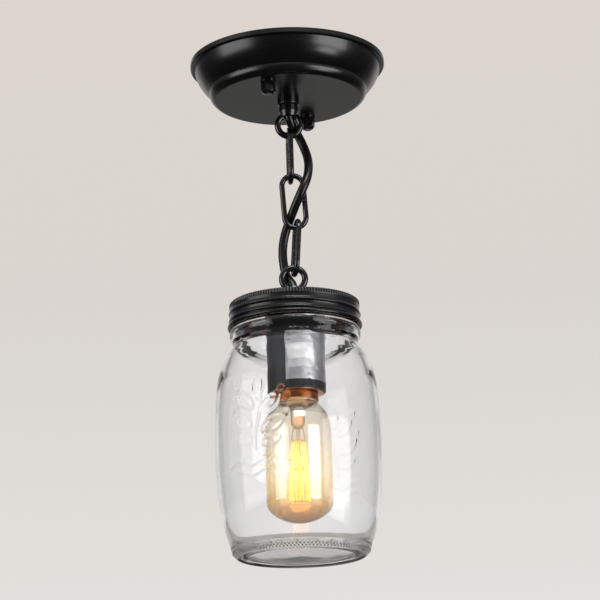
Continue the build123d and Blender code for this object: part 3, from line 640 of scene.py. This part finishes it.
jar_inside = drawn(
    (bore + 0.8, jar_rim),
    ((bore + 0.24, jar_rim - 0.24), (bore, jar_rim - 0.8)),
    (bore, waist + 8.0),
    pitch=5.0,
) + drawn(
    (bore, waist + 7.0),
    (bore, waist - 2.0),
    ((JAR_RADIUS - 9.4, jar_rim - 39.5), (shoulder[0] - JAR_WALL, shoulder[1] - JAR_WALL * 0.3)),
    pitch=1.8,
)[:-1] + drawn(
    (shoulder[0] - JAR_WALL, shoulder[1] - JAR_WALL * 0.3),
    ((JAR_RADIUS - JAR_WALL, jar_rim - 92.0), (chest[0] - JAR_WALL, chest[1])),
    ((JAR_RADIUS - 5.4 - JAR_WALL, jar_low + 19.5), (JAR_FOOT_RADIUS + 2.0, jar_floor + 3.4)),
    ((JAR_FOOT_RADIUS - 0.4, jar_floor + 0.9), (JAR_FOOT_RADIUS - 4.0, jar_floor)),
    (0.0, jar_floor + 0.2),
    pitch=5.0,
)
jar_outside = jar_base + jar_foot[1:] + jar_side[1:] + jar_top[1:]


def sprig(across, up):
    """Height in mm of one sprig with its waves, at places in mm from its middle."""
    rise = np.zeros_like(across)
    for x, y, lean, long, wide in SPRIG_LEAVES:
        turn = math.radians(lean)
        along = (up - y) * math.cos(turn) - (across - x) * math.sin(turn)
        beside = (up - y) * math.sin(turn) + (across - x) * math.cos(turn)
        reach = np.clip(1 - (along / long) ** 2, 0, None)
        edge = np.abs(beside) - wide * reach
        rise = np.maximum(rise, 0.8 * bump_at(edge, 1.15) * (reach > 0))
        rise = np.maximum(rise, 0.5 * bump_at(beside, 0.9) * (reach > 0.25))
        rise = np.maximum(rise, 0.3 * (edge < 0))
    stem = across - 2.2 * np.sin(up / 9.0)
    rise = np.maximum(rise, 0.6 * bump_at(stem, 1.1) * (up > -18) * (up < 18))
    for x, y, size in SPRIG_SEEDS:
        rise = np.maximum(rise, 0.8 * bump_at(np.hypot(across - x, up - y) - size, 1.0))
    for low, start, end in ((-24.5, -26.0, 26.0), (-31.0, -20.0, 20.0)):
        wave = up - low - 1.6 * np.sin(across / 3.4)
        ends = np.clip((across - start) / 2, 0, 1) * np.clip((end - across) / 2, 0, 1)
        rise = np.maximum(rise, 0.8 * bump_at(wave, 1.1) * ends)
    return rise


def pressed_jar(radius, height, turn):
    """Sprigs on the sides, the thread on the finish and the knurl of the foot."""
    outer = (np.arange(len(radius)) < len(jar_outside))[:, None]
    raised = np.zeros_like(radius)
    for middle in SPRIG_TURNS:
        apart = (turn - math.radians(middle - 90.0) + math.pi) % (2 * math.pi) - math.pi
        raised += SPRIG_DEPTH * sprig(apart * JAR_RADIUS, height - SPRIG_HEIGHT) * (np.abs(apart) < 0.75)
    on_side = (height > jar_low + 20) & (height < shoulder[1] + 5)
    raised *= on_side
    thread = thread_height(height, turn, jar_rim - 3.2, bead_low + 8.0, THREAD_PITCH, 1.5)
    raised += JAR_THREAD_DEPTH * thread * (height > bead_low + 6.3)
    bars = 0.5 + 0.5 * np.cos(turn * JAR_FOOT_BARS)
    dots = 0.5 + 0.5 * np.cos(turn * JAR_FOOT_BARS + math.pi)
    raised += 0.45 * bars * bump_at(height - jar_low - 3.4, 1.3) * (height < jar_low + 9)
    raised += 0.45 * dots * bump_at(height - jar_low - 6.2, 1.4) * (height < jar_low + 9)
    ring = (radius > JAR_FOOT_RADIUS - 4.6) & (radius < JAR_FOOT_RADIUS + 2.0) & (height < jar_low + 1.5)
    height = height + 0.5 * (1 - bars) * ring * outer
    ripple = np.sin(5 * turn + 0.9 * height) * np.cos(3 * turn - 0.6 * height) + 0.5 * np.sin(13 * turn + 0.5 * height)
    near_waist = bump_at(height - waist + 6.0, 16.0) * (radius > bore - 0.01)
    return radius + raised * outer - JAR_WAVINESS * (ripple + 1.5) * 0.5 * near_waist * (1 - outer), height


jar_glass, field = new_finish("jar_glass")
# Seen edge on, the clear glass turns dark grey: a painted shade that draws the jar's dark outlines.
grazing = field.node("ShaderNodeLayerWeight", {"Blend": 0.5}, out="Facing")
painted_edge_shade = grazing.ramp((0.0, (0.998, 0.999, 1.0)), (0.60, (0.99, 0.993, 0.996)), (0.84, (0.84, 0.86, 0.87)),
                    (1.0, (0.28, 0.30, 0.31)))
spot = field.node("ShaderNodeTexCoord", out="Object")
x, y, z = (field.node("ShaderNodeSeparateXYZ", {0: spot}, out=axis) for axis in "XYZ")
bars = field.maths("SINE", field.maths("ARCTAN2", y, x) * JAR_FOOT_BARS) * field.maths("SINE", z * 2700.0)
outwards = (field.maths("SQRT", x * x + y * y) - 0.0345) * 1500.0
downwards = ((jar_low + 3.3) * 0.001 - z) * 1500.0
# The foot's stippled knurl is rough, which is real, and its glass there is tinted dark grey, which is painted shade.
stipple_and_painted_shade = (bars * 1.5 + 0.4).clamped() * outwards.clamped() * downwards.clamped()
drawn_glass = cloud(field, 26.0, 2.0, (1.0, 1.0, 0.45))
close_finish(field, {
    "Base Color": field.node("ShaderNodeMix", {0: stipple_and_painted_shade * 0.85, 6: painted_edge_shade, 7: (0.16, 0.17, 0.18, 1.0)}, out=2,
                             data_type="RGBA"),
    "Roughness": stipple_and_painted_shade * 0.45,
    "IOR": 1.5,
    "Transmission Weight": 1.0,
    "Normal": relief(drawn_glass, 0.0012, 0.25),
}, clear=(0.94, 0.955, 0.955, 1.0))

jar = spun("pressed_jar", jar_outside + jar_inside, JAR_COLUMNS, pressed_jar, sharp=60.0)
jar.data.materials.append(jar_glass)
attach(jar, "jar")
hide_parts("glass_jar")


# Lampholder: black phenolic moulded in a cap and a body, which screw together
# round the wires, with a blank foil patch stuck round the body.
FOIL_START = -20.5
FOIL_END = 112.0
FOIL_THICK = 0.10

phenolic, field = new_finish("black_phenolic")
flow = cloud(field, 120.0, 4.0)
close_finish(field, {
    "Base Color": flow.ramp((0.3, (0.0055, 0.0055, 0.0060)), (0.7, (0.0105, 0.0105, 0.0110))),
    "Roughness": flow * 0.15 + 0.36,
    "Normal": relief(flow, 0.0002, 0.3),
})
dress(phenolic, "holder_cap", "holder_body")

holder_low, holder_high = (corner[2] * 1000 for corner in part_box("holder_body"))
holder_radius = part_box("holder_body")[1][0] * 1000
foil_low = holder_low + 5.2
foil_high = holder_low + 39.5


def crumple(across, up):
    """How far the foil stands off the holder at a place, in mm."""
    creases = 0.05 * np.sin(across * 0.9 + 2.0 * np.sin(up * 0.35)) + 0.04 * np.sin(up * 1.3 + across * 0.4)
    return 0.14 + creases


bm = bmesh.new()
skins = []
for lift in (0.0, FOIL_THICK):
    rows = []
    for up in np.linspace(foil_low, foil_high, 36):
        row = []
        for turn in np.radians(np.linspace(FOIL_START, FOIL_END, 72)):
            notch = 0.9 * bump_at(math.degrees(turn) - 26.0, 4.0) * (up < foil_low + 0.5)
            out = holder_radius + crumple(turn * holder_radius, up) + lift
            row.append(bm.verts.new((out * math.sin(turn) * 0.001, -out * math.cos(turn) * 0.001, (up + notch) * 0.001)))
        rows.append(row)
    skins.append(rows)
inner_skin, outer_skin = skins
for rows in skins:
    for low, high in zip(rows, rows[1:]):
        for index in range(len(low) - 1):
            bm.faces.new((low[index], low[index + 1], high[index + 1], high[index]))
for inner, outer in ((inner_skin[0], outer_skin[0]), (inner_skin[-1], outer_skin[-1]),
                     ([row[0] for row in inner_skin], [row[0] for row in outer_skin]),
                     ([row[-1] for row in inner_skin], [row[-1] for row in outer_skin])):
    for index in range(len(inner) - 1):
        bm.faces.new((inner[index], inner[index + 1], outer[index + 1], outer[index]))

foil_skin, field = new_finish("silver_foil")
smear = cloud(field, 70.0, 4.0, (1.0, 1.0, 0.35))
close_finish(field, {
    "Metallic": 1.0,
    "Base Color": smear.ramp((0.3, (0.50, 0.50, 0.52)), (0.5, (0.74, 0.74, 0.76)), (0.7, (0.60, 0.60, 0.62))),
    "Roughness": smear * 0.25 + 0.25,
    "Normal": relief(smear, 0.0012, 0.4),
})
foil = mesh_piece("holder_foil", bm)
foil.data.materials.append(foil_skin)
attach(foil, "pendant")


# Screw shell of the lampholder: thin brass with a copper flash, rolled to the
# bulb's thread and turned out by hand to a wavy rim. Its contact is brass too.
BULB_THREAD_PITCH = 3.63
SHELL_RADIUS = 13.62
SHELL_WAVE = 0.20
SHELL_RIM = 17.5

copper, field = new_finish("copper_flash")
blush = cloud(field, 140.0, 3.0)
close_finish(field, {
    "Metallic": 1.0,
    "Base Color": blush.ramp((0.3, (0.80, 0.38, 0.22)), (0.7, (0.95, 0.60, 0.42))),
    "Roughness": blush * 0.18 + 0.24,
    "Normal": relief(blush, 0.0005, 0.3),
})
shell_low, shell_high = (corner[2] * 1000 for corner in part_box("holder_screw_shell"))
shell_outline = drawn(
    (SHELL_RADIUS, shell_high),
    (SHELL_RADIUS, shell_low + 1.4),
    ((SHELL_RADIUS + 0.25, shell_low + 0.45), (SHELL_RADIUS + 1.1, shell_low + 0.12)),
    (SHELL_RIM - 0.5, shell_low + 0.05),
    ((SHELL_RIM, shell_low + 0.25), (SHELL_RIM - 0.5, shell_low + 0.45)),
    (SHELL_RADIUS + 0.9, shell_low + 0.48),
    (SHELL_RADIUS + 0.3, shell_low + 1.4),
    (SHELL_RADIUS + 0.3, shell_high),
    pitch=0.45,
)


def rolled_shell(radius, height, turn):
    """The thread in the shell's wall, and the waves of its turned rim."""
    wave = SHELL_WAVE * np.cos(2 * math.pi * height / BULB_THREAD_PITCH + turn)
    in_wall = np.clip((height - shell_low - 2.0) / 1.0, 0, 1)
    rim = np.clip((radius - SHELL_RADIUS - 1.0) / 2.0, 0, 1)
    uneven = 0.22 * np.sin(turn * 5 + 1.0) + 0.14 * np.sin(turn * 9 + 2.2)
    return radius + wave * in_wall + uneven * rim * 0.8, height - 0.25 * np.abs(uneven) * rim


shell = spun("rolled_shell", shell_outline, 180, rolled_shell, sharp=60.0)
shell.data.materials.append(copper)
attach(shell, "pendant")
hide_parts("holder_screw_shell")

brass, field = new_finish("bright_brass")
blush = cloud(field, 200.0)
close_finish(field, {
    "Metallic": 1.0,
    "Base Color": blush.ramp((0.3, (0.70, 0.52, 0.24)), (0.7, (0.80, 0.62, 0.32))),
    "Roughness": blush * 0.15 + 0.22,
})
dress(brass, "holder_contact", "terminal_screws")


# Bulb base: a thin brass shell rolled to the medium screw thread and lacquered
# red-brown, with a black glass insulator and a drop of solder at its tip.
base_brass, field = new_finish("base_brass")
blush = cloud(field, 150.0, 3.0)
close_finish(field, {
    "Metallic": 1.0,
    "Base Color": blush.ramp((0.3, (0.38, 0.10, 0.030)), (0.7, (0.55, 0.19, 0.060))),
    "Roughness": blush * 0.15 + 0.25,
})
base_low, base_high = (corner[2] * 1000 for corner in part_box("bulb_base"))
skirt_top = base_low + 5.0
base_outline = drawn(
    (10.7, base_high),
    ((12.4, base_high - 0.6), (12.75, base_high - 2.6)),
    (12.75, skirt_top),
    (13.1, skirt_top - 0.2),
    ((13.95, skirt_top - 0.5), (14.1, skirt_top - 1.2)),
    (14.1, base_low + 0.5),
    ((14.0, base_low + 0.1), (13.8, base_low)),
    (13.6, base_low),
    (13.6, skirt_top - 1.3),
    (12.35, skirt_top - 0.4),
    (12.35, base_high - 2.6),
    ((12.0, base_high - 1.0), (10.7, base_high - 0.4)),
    pitch=0.45,
)


def rolled_base(radius, height, turn):
    """The thread rolled in the base's wall."""
    wave = 0.34 * np.cos(2 * math.pi * height / BULB_THREAD_PITCH + turn)
    in_wall = np.clip((height - skirt_top - 0.8) / 1.0, 0, 1) * np.clip((base_high - 2.0 - height) / 1.5, 0, 1)
    return radius + wave * in_wall, height


base = spun("threaded_base", base_outline, 180, rolled_base, sharp=60.0)
base.data.materials.append(base_brass)
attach(base, "bulb")
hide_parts("bulb_base")

vitrite, field = new_finish("black_vitrite")
close_finish(field, {
    "Base Color": cloud(field, 200.0).ramp((0.3, (0.010, 0.010, 0.016)), (0.7, (0.02, 0.02, 0.03))),
    "Roughness": 0.2,
})
dress(vitrite, "bulb_insulator")

solder, field = new_finish("tin_solder")
grain = cloud(field, 600.0)
close_finish(field, {
    "Metallic": 1.0,
    "Base Color": grain.ramp((0.3, (0.55, 0.55, 0.56)), (0.7, (0.70, 0.70, 0.70))),
    "Roughness": grain * 0.2 + 0.3,
    "Normal": relief(grain, 0.0004, 0.4),
})
dress(solder, "bulb_contact")


# Bulb glass: blown tube in pale amber, deeper towards its flattened tip, with
# the colour gathering where the glass is seen edge on. Its very tip carries a
# painted reflection in dark brown, and the glass carries a painted glow from the lit filament.
bulb_low, bulb_high = (corner[2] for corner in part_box("bulb_glass"))

amber, field = new_finish("amber_glass")
spot = field.node("ShaderNodeTexCoord", out="Object")
up = field.node("ShaderNodeSeparateXYZ", {0: spot}, out="Z")
drop = (up - bulb_low) * (1 / (bulb_high - bulb_low))
# The amber deepens towards the tip, which is real; the darkest brown at the very tip is a painted reflection of the
# seal.
amber_and_tip_reflection = drop.ramp((0.0, (0.42, 0.21, 0.09)), (0.05, (0.74, 0.47, 0.23)), (0.17, (0.93, 0.76, 0.52)),
                 (0.40, (0.985, 0.93, 0.82)), (0.65, (0.995, 0.975, 0.93)), (1.0, (0.99, 0.975, 0.945)))
grazing = field.node("ShaderNodeLayerWeight", {"Blend": 0.5}, out="Facing")
edge = grazing.ramp((0.0, (1.0, 1.0, 1.0)), (0.6, (0.99, 0.975, 0.95)), (0.88, (0.90, 0.77, 0.62)),
                    (1.0, (0.34, 0.18, 0.08)))
# A painted glow: the glass emits warm light, most at the filament's height, standing in for the lit filament's light
# in the glass.
painted_glow = drop.ramp((0.0, (0.0, 0.0, 0.0)), (0.14, (0.028, 0.015, 0.005)), (0.32, (0.150, 0.112, 0.058)),
                  (0.55, (0.130, 0.102, 0.062)), (0.80, (0.055, 0.044, 0.030)), (1.0, (0.012, 0.009, 0.006)))
close_finish(field, {
    "Base Color": field.node("ShaderNodeMix", {0: 1.0, 6: amber_and_tip_reflection, 7: edge}, out=2, data_type="RGBA", blend_type="MULTIPLY"),
    "Roughness": 0.0,
    "IOR": 1.5,
    "Transmission Weight": 1.0,
    "Coat Weight": 1.0,
    "Coat Roughness": 0.14,
    "Coat IOR": 2.1,
    "Emission Color": painted_glow,
    "Emission Strength": 1.0,
    "Normal": relief(cloud(field, 40.0), 0.0006, 0.2),
}, clear=(0.98, 0.93, 0.84, 1.0))
dress(amber, "bulb_glass")


# Glass stem: a pressed tube that carries the wires, drawn out to a thin rod.
stem_glass, field = new_finish("stem_glass")
close_finish(field, {
    "Base Color": cloud(field, 200.0, 2.0, (1.0, 1.0, 0.2)).ramp((0.3, (0.96, 0.78, 0.56)), (0.7, (0.98, 0.88, 0.72))),
    "Roughness": 0.02,
    "IOR": 1.5,
    "Transmission Weight": 1.0,
    "Normal": relief(cloud(field, 260.0, 2.0, (1.0, 1.0, 0.25)), 0.0006, 0.5),
}, clear=(0.98, 0.93, 0.84, 1.0))
dress(stem_glass, "bulb_stem")


# Caged filament: one wire hooked up and down round the rod in two tiers, held
# at the top, the middle and the foot by fine supports from the rod.
FILAMENT_RUNS = 18
FILAMENT_WIRE = 0.30
FILAMENT_RADII = (4.2, 5.5, 6.7)
SUPPORT_WIRE = 0.17
ROD_RADIUS = 1.2

filament_low, filament_high = (corner[2] * 1000 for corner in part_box("bulb_filament"))
tiers = (filament_high - 0.4, (filament_high + filament_low) / 2 + 1.8, filament_low + 0.4)


def cage_radius(height):
    """How far a run of the filament stands from the axis, slack between its hooks."""
    upper = 0 if height > tiers[1] else 1
    share = (tiers[upper] - height) / (tiers[upper] - tiers[upper + 1])
    straight = FILAMENT_RADII[upper] + (FILAMENT_RADII[upper + 1] - FILAMENT_RADII[upper]) * share
    return straight + 0.55 * math.sin(math.pi * share)


wire_line = []
for run in range(FILAMENT_RUNS):
    angle = 2 * math.pi * (run + 0.5) / FILAMENT_RUNS
    levels = np.linspace(tiers[0], tiers[2], 25)
    if run % 2:
        levels = levels[::-1]
    for index, level_height in enumerate(levels):
        lean = angle + 0.35 / FILAMENT_RUNS * math.cos(math.pi * index / 24)
        out = cage_radius(level_height)
        wire_line.append(Vector((out * math.cos(lean), out * math.sin(lean), level_height)) * 0.001)
bm = bmesh.new()
add_tube(bm, wire_line, FILAMENT_WIRE * 0.001, 8)
cage = mesh_piece("caged_filament", bm)

glow, field = new_finish("glowing_filament")
spot = field.node("ShaderNodeTexCoord", out="Object")
up = field.node("ShaderNodeSeparateXYZ", {0: spot}, out="Z")
heat = (filament_high * 0.001 - up) * (1000 / (filament_high - filament_low)) + cloud(field, 150.0) * 0.2
close_finish(field, {
    "Base Color": (0.9, 0.5, 0.15, 1.0),
    "Roughness": 0.5,
    "Emission Color": heat.ramp((0.10, (0.62, 0.24, 0.025)), (0.45, (0.92, 0.48, 0.050)), (0.75, (1.0, 0.62, 0.090))),
    "Emission Strength": 2.4,
})
cage.data.materials.append(glow)
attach(cage, "bulb")
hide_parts("bulb_filament")

bm = bmesh.new()
for number, (level_height, radius) in enumerate(zip(tiers, FILAMENT_RADII)):
    for spoke in range(FILAMENT_RUNS // 2):
        angle = 2 * math.pi * (2 * spoke + (1, 0.5, 0)[number] * 1.0) / FILAMENT_RUNS
        outward = Vector((math.cos(angle), math.sin(angle), 0))
        rise = (0.5, 0.0, -0.5)[number]
        line = []
        for step in range(9):
            share = step / 8
            reach = ROD_RADIUS + (radius - ROD_RADIUS) * share
            line.append((outward * reach + Vector((0, 0, level_height + rise + 0.7 * math.sin(math.pi * share)))) * 0.001)
        for step in range(1, 6):
            hook = math.pi * 1.3 * step / 5
            reach = radius + 0.55 * math.sin(hook)
            line.append((outward * reach + Vector((0, 0, level_height + rise - 0.55 * (1 - math.cos(hook))))) * 0.001)
        add_tube(bm, line, SUPPORT_WIRE * 0.001, 6)
press_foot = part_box("bulb_stem")[1][2] * 1000 - 17.5
for way_out in (-1, 1):
    line = []
    for step in range(11):
        share = step / 10
        sideways = way_out * (2.0 + (FILAMENT_RADII[0] - 2.0) * share + 0.8 * math.sin(math.pi * share))
        line.append(Vector((sideways, 0.3 * way_out, press_foot + (tiers[0] - press_foot) * share)) * 0.001)
    add_tube(bm, line, 0.00026, 8)
supports = mesh_piece("support_wires", bm)

lit_filament = bpy.data.lights.new("lit_filament", "POINT")
lit_filament.color = (1.0, 0.66, 0.34)
lit_filament.energy = 0.6
lit_filament.shadow_soft_size = 0.006
light_place = bpy.data.objects.new("lit_filament", lit_filament)
light_place.location = (0, 0, (filament_low + filament_high) / 2 * 0.001)
light_place.visible_camera = False
light_place.visible_transmission = False
light_place.visible_glossy = False
bpy.context.scene.collection.objects.link(light_place)

wire, field = new_finish("support_wire")
close_finish(field, {
    "Metallic": 1.0,
    "Base Color": cloud(field, 500.0).ramp((0.3, (0.40, 0.28, 0.16)), (0.7, (0.58, 0.42, 0.25))),
    "Roughness": 0.4,
})
supports.data.materials.append(wire)
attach(supports, "bulb")
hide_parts("filament_supports")
